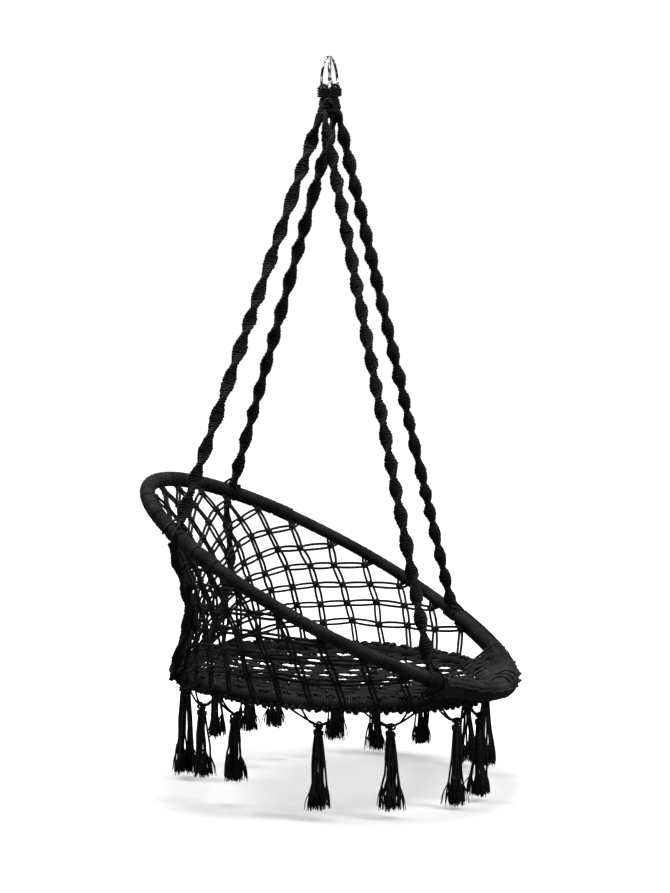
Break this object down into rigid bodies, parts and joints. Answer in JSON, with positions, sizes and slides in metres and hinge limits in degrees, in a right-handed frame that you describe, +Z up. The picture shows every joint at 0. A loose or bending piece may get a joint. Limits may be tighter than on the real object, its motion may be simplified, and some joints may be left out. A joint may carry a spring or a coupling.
{
  "type": "hanging macrame chair swing",
  "caption": "Knotted cord chair on two steel hoops, hung by four knotted ropes from a pair of rings, with fringe tassels under the seat.",
  "frame": {"origin": "the point where the hook bears on the inside top of the two hanging rings", "axes": "+Z up; -Y the way the sitter faces; +X the sitter's left"},
  "size_m": [0.7969, 0.7133, 1.3772],
  "materials": {
    "bright_ring": "polished",
    "hoop_steel": "satin",
    "wound_cord": "matte",
    "net_cord": "matte",
    "tassel_cord": "matte",
    "knotted_rope": "matte",
    "edge_cord": "matte"
  },
  "bodies": {
    "hanger": {"front_ring": "bright_ring", "rear_ring": "bright_ring"},
    "chair": {"front_ring_eye": "knotted_rope", "rear_ring_eye": "knotted_rope", "rope_gather": "knotted_rope", "front_rope_left": "knotted_rope", "front_rope_right": "knotted_rope", "rear_rope_left": "knotted_rope", "rear_rope_right": "knotted_rope", "front_hitch_left": "knotted_rope", "front_hitch_right": "knotted_rope", "rear_hitch_left": "knotted_rope", "rear_hitch_right": "knotted_rope", "back_hoop_tube": "hoop_steel", "back_hoop_coupler": "hoop_steel", "back_hoop_winding": "wound_cord", "back_net": "net_cord", "front_edging": "edge_cord", "front_lashing": "edge_cord", "drop_rope_left": "knotted_rope", "drop_rope_right": "knotted_rope"},
    "seat": {"seat_hoop_tube": "hoop_steel", "seat_hoop_coupler": "hoop_steel", "seat_hoop_winding": "wound_cord", "seat_net": "net_cord", "drop_knot_left": "edge_cord", "drop_knot_right": "edge_cord", "tassel_bridles": "tassel_cord"},
    "tassel_01": {"tassel_01": "tassel_cord"},
    "tassel_02": {"tassel_02": "tassel_cord"},
    "tassel_03": {"tassel_03": "tassel_cord"},
    "tassel_04": {"tassel_04": "tassel_cord"},
    "tassel_05": {"tassel_05": "tassel_cord"},
    "tassel_06": {"tassel_06": "tassel_cord"},
    "tassel_07": {"tassel_07": "tassel_cord"},
    "tassel_08": {"tassel_08": "tassel_cord"},
    "tassel_09": {"tassel_09": "tassel_cord"},
    "tassel_10": {"tassel_10": "tassel_cord"},
    "tassel_11": {"tassel_11": "tassel_cord"},
    "tassel_12": {"tassel_12": "tassel_cord"},
    "tassel_13": {"tassel_13": "tassel_cord"},
    "tassel_14": {"tassel_14": "tassel_cord"},
    "tassel_15": {"tassel_15": "tassel_cord"}
  },
  "joints": [
    {"name": "chair_swing", "type": "hinge", "parent": "hanger", "child": "chair", "pos_m": [0, 0, -0.05989], "axis": [1, 0, 0], "range_deg": [-25, 25]},
    {"name": "seat_fold", "type": "hinge", "parent": "chair", "child": "seat", "pos_m": [0, -0.32724, -1.17476], "axis": [1, 0, 0], "range_deg": [0, 24], "deforming": ["front_lashing", "back_net", "drop_rope_left", "drop_rope_right"]},
    {"name": "tassel_01_swing", "type": "hinge", "parent": "seat", "child": "tassel_01", "pos_m": [-0.01047, 0.28354, -1.1919], "axis": [-0.9994, -0.0349, 0], "range_deg": [-25, 25]},
    {"name": "tassel_02_swing", "type": "hinge", "parent": "seat", "child": "tassel_02", "pos_m": [-0.2158, 0.1922, -1.19589], "axis": [-0.6947, -0.7193, 0], "range_deg": [-25, 25]},
    {"name": "tassel_03_swing", "type": "hinge", "parent": "seat", "child": "tassel_03", "pos_m": [-0.26964, 0.11539, -1.19925], "axis": [-0.4384, -0.8988, 0], "range_deg": [-25, 25]},
    {"name": "tassel_04_swing", "type": "hinge", "parent": "seat", "child": "tassel_04", "pos_m": [-0.29836, -0.04732, -1.20635], "axis": [0.1045, -0.9945, 0], "range_deg": [-25, 25]},
    {"name": "tassel_05_swing", "type": "hinge", "parent": "seat", "child": "tassel_05", "pos_m": [-0.25715, -0.17036, -1.21172], "axis": [0.515, -0.8572, 0], "range_deg": [-25, 25]},
    {"name": "tassel_06_swing", "type": "hinge", "parent": "seat", "child": "tassel_06", "pos_m": [-0.15451, -0.2729, -1.2162], "axis": [0.8572, -0.515, 0], "range_deg": [-25, 25]},
    {"name": "tassel_07_swing", "type": "hinge", "parent": "seat", "child": "tassel_07", "pos_m": [-0.08269, -0.3041, -1.21756], "axis": [0.9613, -0.2756, 0], "range_deg": [-25, 25]},
    {"name": "tassel_08_swing", "type": "hinge", "parent": "seat", "child": "tassel_08", "pos_m": [0.14544, -0.27813, -1.21643], "axis": [0.8746, 0.4848, 0], "range_deg": [-25, 25]},
    {"name": "tassel_09_swing", "type": "hinge", "parent": "seat", "child": "tassel_09", "pos_m": [0.2084, -0.23159, -1.2144], "axis": [0.7193, 0.6947, 0], "range_deg": [-25, 25]},
    {"name": "tassel_10_swing", "type": "hinge", "parent": "seat", "child": "tassel_10", "pos_m": [0.27815, -0.12827, -1.20989], "axis": [0.3746, 0.9272, 0], "range_deg": [-25, 25]},
    {"name": "tassel_11_swing", "type": "hinge", "parent": "seat", "child": "tassel_11", "pos_m": [0.29982, -0.02645, -1.20544], "axis": [0.0349, 0.9994, 0], "range_deg": [-25, 25]},
    {"name": "tassel_12_swing", "type": "hinge", "parent": "seat", "child": "tassel_12", "pos_m": [0.29109, 0.05651, -1.20182], "axis": [-0.2419, 0.9703, 0], "range_deg": [-25, 25]},
    {"name": "tassel_13_swing", "type": "hinge", "parent": "seat", "child": "tassel_13", "pos_m": [0.2364, 0.16853, -1.19693], "axis": [-0.6157, 0.788, 0], "range_deg": [-25, 25]},
    {"name": "tassel_14_swing", "type": "hinge", "parent": "seat", "child": "tassel_14", "pos_m": [0.19284, 0.2136, -1.19496], "axis": [-0.766, 0.6428, 0], "range_deg": [-25, 25]},
    {"name": "tassel_15_swing", "type": "hinge", "parent": "seat", "child": "tassel_15", "pos_m": [0.12202, 0.25781, -1.19303], "axis": [-0.9135, 0.4067, 0], "range_deg": [-25, 25]}
  ]
}
